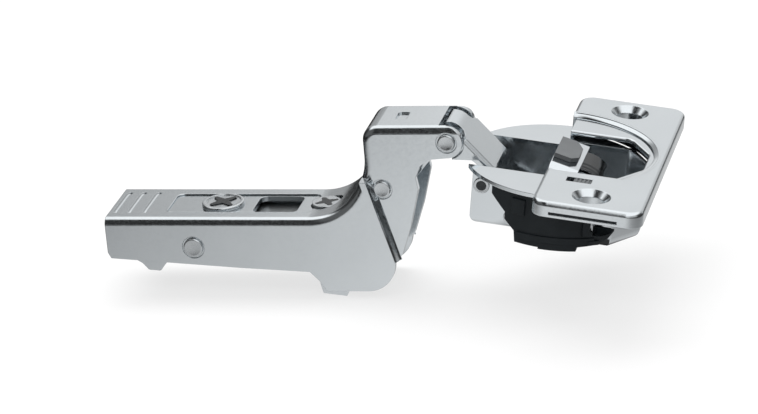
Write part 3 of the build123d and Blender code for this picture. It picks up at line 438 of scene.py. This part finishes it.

# Dark crosses of painted shade inlaid in the screws, just proud of their heads, that stand for the
# shaded recesses.
# Each has its screw, its arms' reach and width, and how far it is turned.
CROSSES = (
    ("depth_screw", 2.9, 1.25, 45),
    ("side_screw", 0.78 * radius_mm("side_screw"), 1.15, 30),
)
CROSS_RINGS = ((0.9, -0.42), (1.0, -0.02), (1.0, 0.012))  # share of the outline, and height
CROSS_TIP = 0.12  # how far the end of an arm is rounded out
ARM_HALF = 0.3  # half an arm's end in its width
ARM_ROOT = 0.66  # place of the corner between two arms in their width
for screw, reach, width, first_turn in CROSSES:
    low, high = box_mm(screw)
    middle = Vector(((low.x + high.x) / 2, (low.y + high.y) / 2, high.z))
    outline = []
    for quarter in range(4):
        turn = math.radians(first_turn) + math.pi / 2 * quarter
        along = Vector((math.cos(turn), math.sin(turn), 0))
        across = Vector((-along.y, along.x, 0))
        outline.append(along * reach - across * width * ARM_HALF)
        outline.append(along * (reach + CROSS_TIP))
        outline.append(along * reach + across * width * ARM_HALF)
        outline.append((along + across) * width * ARM_ROOT)
    cross_rings = []
    for share, height in CROSS_RINGS:
        cross_rings.append([middle + point * share + Vector((0, 0, height)) for point in outline])
    solid(screw + "_cross", screw, "pin_steel", cross_rings, "recess_painted_shade")

# --- Arm -----------------------------------------------------------------------------------------
# Drawn jogs beside the seam, where the arm's cheeks step inwards from the rear to the knee
SEAM_TOP, SEAM_FOOT = (21.25, 10.75), (25.75, -5.85)  # x and z
REAR_HALF, FRONT_HALF = 8.625, 6.6
JOG_PROUD = 0.02
JOG_RUN = 0.95
JOG_BACK = 0.1
JOG_ROOT = FRONT_HALF - 0.3
JOG_ROWS, JOG_BENDS = 14, 16
for way, side_name in SIDES:
    jog_rings = []
    for row in range(JOG_ROWS + 1):
        share = row / JOG_ROWS
        seam_x = SEAM_TOP[0] + (SEAM_FOOT[0] - SEAM_TOP[0]) * share
        seam_z = SEAM_TOP[1] + (SEAM_FOOT[1] - SEAM_TOP[1]) * share
        ring = [(seam_x - JOG_BACK, way * half, seam_z) for half in (JOG_ROOT, REAR_HALF)]
        for bend in range(JOG_BENDS + 1):
            share = bend / JOG_BENDS
            drop = share - math.sin(2 * math.pi * share) / (4 * math.pi)
            half = REAR_HALF + JOG_PROUD - (REAR_HALF - FRONT_HALF) * drop
            ring.append((seam_x + JOG_RUN * share, way * half, seam_z))
        ring.append((seam_x + JOG_RUN, way * JOG_ROOT, seam_z))
        jog_rings.append(ring)
    solid(side_name + "_arm_jog", "arm", "plated_sheet", jog_rings, "bright_sheet")

# Finger ribs: shallow beads across the rear web, fading out at both ends
RIB_PLACES = (-30.9, -28.0, -24.9)
RIB_START, RIB_LENGTH, RIB_STEPS = -5.3, 10.4, 24
RIB_HALF, RIB_HEIGHT, RIB_ROOT = 0.42, 0.14, -0.25
RIB_FADE_STEPS, RIB_END = 3, 0.3  # a bead's end keeps this many steps' height
WEB_TOP = 3.25
for rib_count, rib_x in enumerate(RIB_PLACES):
    rib_rings = []
    for place in range(RIB_STEPS + 1):
        from_end = min(place, RIB_STEPS - place) + RIB_END
        rise = RIB_HEIGHT * min(1.0, from_end / RIB_FADE_STEPS)
        profile = [(-RIB_HALF, RIB_ROOT), (RIB_HALF, RIB_ROOT)]
        profile += [(RIB_HALF * math.cos(turn), rise * math.sin(turn)) for turn in arc(0, 180, 8)]
        rib_y = RIB_START + RIB_LENGTH * place / RIB_STEPS
        rib_rings.append([(rib_x + out, rib_y, WEB_TOP + up) for out, up in profile])
    solid(f"finger_rib_{rib_count + 1}", "arm", "plated_sheet", rib_rings)

# --- Springs -------------------------------------------------------------------------------------
# True coils in place of the plain rings: each is a leg, its turns, and for the lever a second leg
LEVER_PIN = Vector((-19.6, 0, -2.75))
LEVER_RADIUS = 1.4
LEVER_HALF = 1.3
LEVER_LEG = ((-26.9, -4.6), (-22.0, -3.0))  # x and z from its end to the coil
LEVER_LAST = (-22.2, -0.75)  # the second leg's end
lever_path = [Vector((leg_x, -LEVER_HALF, leg_z)) for leg_x, leg_z in LEVER_LEG]
lever_path += coil(LEVER_PIN, LEVER_RADIUS, -LEVER_HALF, LEVER_HALF, turns=5, way=1)
lever_path += [Vector((LEVER_LAST[0], LEVER_HALF, LEVER_LAST[1]))]
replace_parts(wire("lever_coil", "clip_base", lever_path, radius=0.3), "lever_spring")

CLOSING_PIVOT = Vector((23.95, 0, 8.75))
CLOSING_RADIUS = 1.3
CLOSING_START, CLOSING_RUN = 3.75, 1.04
CLOSING_LEG = (15.6, 12.0)  # heights of its top and its foot
for way, side_name in SIDES:
    leg_x, leg_y = CLOSING_PIVOT.x - CLOSING_RADIUS, way * CLOSING_START
    closing_path = [Vector((leg_x, leg_y, leg_z)) for leg_z in CLOSING_LEG]
    last_y = way * (CLOSING_START + CLOSING_RUN)
    closing_path += coil(CLOSING_PIVOT, CLOSING_RADIUS, leg_y, last_y, turns=3, way=-1)
    spring = wire(side_name + "_closing_coil", "arm", closing_path, radius=0.22)
    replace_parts(spring, side_name + "_closing_spring")

# --- Cup -----------------------------------------------------------------------------------------
# Moulded bands and catches on the damper housings' round faces: each has its ends along U, its
# foot and top along W, and its height over the face
HOUSING_RADIUS = 17.3
HOUSING_BANDS = (
    ("foot_band", (-4.9, 9.6), (-13.2, -11.6), 0.28),
    ("front_catch", (7.4, 8.6), (-11.4, -5.2), 0.5),
    ("front_foot", (8.6, 10.4), (-13.3, -12.2), 0.4),
    ("rear_catch", (-6.2, -3.6), (-8.4, -5.0), 0.35),
    ("middle_catch", (1.2, 3.4), (-7.4, -5.4), 0.3),
)
BAND_ROOT, BAND_CHAMFER, BAND_STEPS = -0.3, 0.15, 12
for way, side_name in SIDES:
    for band, ends, (foot, top), height in HOUSING_BANDS:
        first_turn, last_turn = (math.asin(end / HOUSING_RADIUS) for end in ends)
        section = (
            (BAND_ROOT, foot),
            (height, foot + BAND_CHAMFER),
            (height, top - BAND_CHAMFER),
            (BAND_ROOT, top),
        )
        band_rings = []
        for place in range(BAND_STEPS + 1):
            turn = first_turn + (last_turn - first_turn) * place / BAND_STEPS
            along, across = math.sin(turn), way * math.cos(turn)
            ring = []
            for out, up in section:
                radius = HOUSING_RADIUS + out
                ring.append(cup_point(radius * along, radius * across, up))
            band_rings.append(ring)
        solid(f"{side_name}_{band}", "cup", "black_plastic", band_rings)

# Rolled lip of the flange cap round the pocket, wide at the far side and flatter to the right
LIP_RADIUS = 18.4
LIP_ARC = arc(92.8, -134.0, 60)
LIP_TOP = 0.012
LIP_FALL, LIP_FAR_FALL = 0.25, 0.53
# From its outer edge inwards: the place outside the radius, and the share of the fall
LIP_ROLL = ((0.5, 0.0), (0.25, 0.06), (0.0, 0.26), (-0.3, 0.55), (-0.6, 0.84), (-0.72, 1.0))
LIP_ROOT = ((-0.6, -0.8), (0.05, -0.8), (0.5, -0.15))  # with its height instead
lip_rings = []
for turn in LIP_ARC:
    fall = LIP_FALL + LIP_FAR_FALL * max(0.0, math.sin(turn))
    section = [(out, LIP_TOP - fall * share) for out, share in LIP_ROLL] + list(LIP_ROOT)
    ring = []
    for out, up in section:
        radius = LIP_RADIUS + out
        ring.append(cup_point(radius * math.cos(turn), radius * math.sin(turn), up))
    lip_rings.append(ring)
solid("flange_lip", "cup", "bright_sheet", lip_rings)

# Black strips of painted shade in the long slots of the flange cap's end faces, for the shade
# inside them
SLOT_MIDDLE = (9.0, -2.2)  # along U and W
SLOT_HALF, SLOT_RADIUS = 6.18, 0.245
SLOT_SHADE_DEPTHS = (27.6, 28.1, 28.3)
slot_outline = []
for end, first_turn in ((1, -90), (-1, 90)):
    for turn in arc(first_turn, 180, 8):
        along = SLOT_MIDDLE[0] + end * SLOT_HALF + SLOT_RADIUS * math.cos(turn)
        slot_outline.append((along, SLOT_MIDDLE[1] + SLOT_RADIUS * math.sin(turn)))
for way, side_name in SIDES:
    slot_shade_rings = []
    for depth in SLOT_SHADE_DEPTHS:
        slot_shade_rings.append([cup_point(along, way * depth, up) for along, up in slot_outline])
    solid(side_name + "_slot_painted_shade", "cup", "black_plastic", slot_shade_rings)

# Ridged drum on the damper lever's nose, made nearly black as painted shade: a thick shell with
# three ridges and plain ends
DRUM_MIDDLE = (4.0, -8.0)  # along U and W
DRUM_INNER = 5.1
DRUM_ARC = arc(40, 50, 16)
DRUM_SECTION = (  # place across the hinge, and outer radius
    (-4.42, 5.3), (-4.42, 5.66), (-4.3, 5.84), (-4.0, 5.86),
    (-3.85, 5.73), (-3.2, 5.73), (-3.05, 5.88), (-2.7, 5.88),
    (-2.55, 5.73), (-1.7, 5.73), (-1.55, 5.88), (-1.2, 5.88),
    (-1.05, 5.73), (1.5, 5.73), (4.3, 5.73), (4.4, 5.3),
)
drum_rings = []
for across, outer in DRUM_SECTION:
    section = [(outer, turn) for turn in DRUM_ARC]
    section += [(DRUM_INNER, turn) for turn in reversed(DRUM_ARC)]
    ring = []
    for radius, turn in section:
        along = DRUM_MIDDLE[0] + radius * math.cos(turn)
        ring.append(cup_point(along, across, DRUM_MIDDLE[1] + radius * math.sin(turn)))
    drum_rings.append(ring)
solid("lever_drum", "damper_lever", "bright_sheet", drum_rings, "drum_painted_shade")

# --- Panel ---------------------------------------------------------------------------------------
# Pressed outline of the panel on the arm's rear web: a thin bead, open towards the knee
PANEL_END = 8.0
PANEL_CORNER_X, PANEL_CORNER_Y, PANEL_CORNER_RADIUS = -19.05, 3.4, 1.5
PANEL_HALF = PANEL_CORNER_Y + PANEL_CORNER_RADIUS
PANEL_HEIGHT = 3.17
panel_path = [Vector((PANEL_END, PANEL_HALF, PANEL_HEIGHT))]
for corner_y, first_turn in ((PANEL_CORNER_Y, 90), (-PANEL_CORNER_Y, 180)):
    corner = Vector((PANEL_CORNER_X, corner_y, PANEL_HEIGHT))
    for turn in arc(first_turn, 90, 8):
        spoke = Vector((math.cos(turn), math.sin(turn), 0))
        panel_path.append(corner + spoke * PANEL_CORNER_RADIUS)
panel_path.append(Vector((PANEL_END, -PANEL_HALF, PANEL_HEIGHT)))
wire("panel_outline", "arm", panel_path, radius=0.15, slot="plated_sheet")


# --- Floor and world -----------------------------------------------------------------------------
# The camera sees a white backdrop. The metal mirrors a studio instead: grey levels that stand for
# screens, and dark zones that draw the black lines along its bends. The lamps aren't mirrored.
def camera_white(tree, own_shader, share):
    """Shows white to the camera in the given share, and the own shader otherwise."""
    rays = add_node(tree, "LightPath")
    white = add_node(tree, "Emission", {"Strength": 1.0})
    white_share = calc(tree, "MULTIPLY", rays.outputs["Is Camera Ray"], share)
    inputs = {0: white_share, 1: own_shader, 2: white.outputs[0]}
    return add_node(tree, "MixShader", inputs).outputs[0]


FLOOR_HALF = 3.0
FLOOR_GAP = 0.2 * MM
FLOOR_WHITE = 0.72  # the rest of what the camera sees is the floor's own shade and shadow
corners = ((-1, -1), (1, -1), (1, 1), (-1, 1))
floor_points = [(x * FLOOR_HALF, y * FLOOR_HALF, 0) for x, y in corners]
floor_mesh = bpy.data.meshes.new("floor")
floor_mesh.from_pydata(floor_points, [], [(0, 1, 2, 3)])
floor = bpy.data.objects.new("floor", floor_mesh)
floor.location.z = cad_box[0][2] - FLOOR_GAP
bpy.context.scene.collection.objects.link(floor)
floor_material = bpy.data.materials.new("pale_floor")
floor_material.use_nodes = True
ground = floor_material.node_tree
floor_bsdf = ground.nodes["Principled BSDF"]
floor_bsdf.inputs["Base Color"].default_value = (0.86, 0.86, 0.86, 1)
floor_bsdf.inputs["Roughness"].default_value = 0.9

# What the metal mirrors of the floor, by its place in metres: pale under the middle, and darker
# to both ends, behind the arm, in a patch under the cup and far in front
FLOOR_LEVELS = (
    (-0.15, 0.02),
    (-0.064, 0.04),
    (-0.050, 0.45),
    (-0.01, 0.62),
    (0.02, 0.76),
    (0.045, 0.82),
    (0.07, 0.76),
    (0.10, 0.42),
    (0.15, 0.03),
)
floor_x, floor_y, _ = split(ground, add_node(ground, "TexCoord").outputs["Object"])
behind_arm = zone(ground, (floor_y, -0.008, 0.012), (floor_x, 0.045, 0.01))
under_cup = zone(
    ground,
    (floor_x, 0.040, 0.048),
    (floor_y, 0.026, 0.016),
    (floor_y, -0.050, -0.040),
    (floor_x, 0.078, 0.068),
)
far_front = zone(ground, (floor_y, -0.13, -0.17))
mirrored = levels(ground, floor_x, FLOOR_LEVELS)
for dark_zone, share_left in ((behind_arm, 0.06), (under_cup, 0.05), (far_front, 0.03)):
    mirrored = calc(ground, "MULTIPLY", mirrored, blend(ground, 1.0, share_left, dark_zone))
mirror_light = add_node(ground, "Emission", {"Strength": mirrored})
glossy_rays = add_node(ground, "LightPath").outputs["Is Glossy Ray"]
floor_inputs = {0: glossy_rays, 1: floor_bsdf.outputs[0], 2: mirror_light.outputs[0]}
floor_look = add_node(ground, "MixShader", floor_inputs).outputs[0]
floor_seen = camera_white(ground, floor_look, FLOOR_WHITE)
ground.links.new(floor_seen, ground.nodes["Material Output"].inputs[0])
floor_mesh.materials.append(floor_material)

# The world by the direction of a ray: levels from left to right, bright overhead, and dark low on
# the left, in front from the middle to the left, and low on the right
SKY_LEVELS = (
    (-0.33, 0.38),
    (-0.31, 0.42),
    (-0.283, 0.475),
    (-0.263, 0.53),
    (-0.25, 0.58),
    (-0.226, 0.82),
    (-0.20, 0.87),
    (-0.06, 0.84),
    (0.15, 0.84),
    (0.38, 0.62),
    (0.60, 0.50),
)
OVERHEAD_LEVEL = 1.2
LEFT_LEVEL, RIGHT_LEVEL = 0.04, 0.06
FRONT_LEVEL, FRONT_LEFT_LEVEL = 0.02, 0.12
world = bpy.data.worlds.new("studio")
world.use_nodes = True
bpy.context.scene.world = world
sky = world.node_tree
background = sky.nodes["Background"]
background.inputs["Color"].default_value = (1, 1, 1, 1)
ray_x, ray_y, ray_z = split(sky, add_node(sky, "TexCoord").outputs["Generated"])
overhead = zone(sky, (ray_z, 0.50, 0.64))
low_left = zone(sky, (ray_x, -0.50, -0.70), (ray_z, 0.75, 0.55))
in_front = zone(sky, (ray_y, -0.04, -0.20), (ray_z, -0.02, 0.06), (ray_x, 0.06, -0.08))
low_right = zone(sky, (ray_x, 0.62, 0.80), (ray_z, 0.60, 0.40), (ray_y, -0.30, -0.10))
front_left = zone(sky, (ray_x, -0.36, -0.48))
level = levels(sky, ray_x, SKY_LEVELS)
level = blend(sky, level, OVERHEAD_LEVEL, overhead)
level = blend(sky, level, LEFT_LEVEL, low_left)
level = blend(sky, level, blend(sky, FRONT_LEVEL, FRONT_LEFT_LEVEL, front_left), in_front)
level = blend(sky, level, RIGHT_LEVEL, low_right)
sky.links.new(level, background.inputs["Strength"])
sky_seen = camera_white(sky, background.outputs[0], 1.0)
sky.links.new(sky_seen, sky.nodes["World Output"].inputs[0])


# --- Lights and camera ---------------------------------------------------------------------------
MIDDLE = Vector((0.025, 0, 0.005))


def area_light(name, place, size, power):
    """A soft lamp that faces the object's middle and that the metal doesn't mirror."""
    lamp = bpy.data.lights.new(name, "AREA")
    lamp.shape = "RECTANGLE"
    lamp.size, lamp.size_y = size
    lamp.energy = power
    made = bpy.data.objects.new(name, lamp)
    made.location = place
    made.rotation_euler = (MIDDLE - Vector(place)).to_track_quat("-Z", "Y").to_euler()
    made.visible_glossy = False
    bpy.context.scene.collection.objects.link(made)


area_light("top_softbox", place=(-0.10, 0.25, 0.75), size=(0.7, 0.5), power=5.0)
area_light("front_fill", place=(-0.35, -0.75, 0.85), size=(0.5, 0.3), power=2.0)

# The camera as it was fitted to the photograph
VIEW_RIGHT = Vector((0.97246968, 0.21704598, -0.084816))
VIEW_UP = Vector((-0.00140377, 0.36942097, 0.92926109))
VIEW_AHEAD = Vector((-0.23302519, 0.90355918, -0.35955538))
VIEW_PLACE = Vector((0.20284, -0.70364, 0.28246))
camera_data = bpy.data.cameras.new("photo_camera")
camera_data.lens = 189.70
camera_data.sensor_width = 36.0
camera_data.clip_start = 0.01
camera_data.clip_end = 20.0
camera = bpy.data.objects.new("photo_camera", camera_data)
axes = Matrix((VIEW_RIGHT, VIEW_UP, -VIEW_AHEAD)).transposed().to_4x4()
camera.matrix_world = Matrix.Translation(VIEW_PLACE) @ axes
bpy.context.scene.collection.objects.link(camera)
bpy.context.scene.camera = camera
bpy.context.scene.view_settings.view_transform = "Standard"
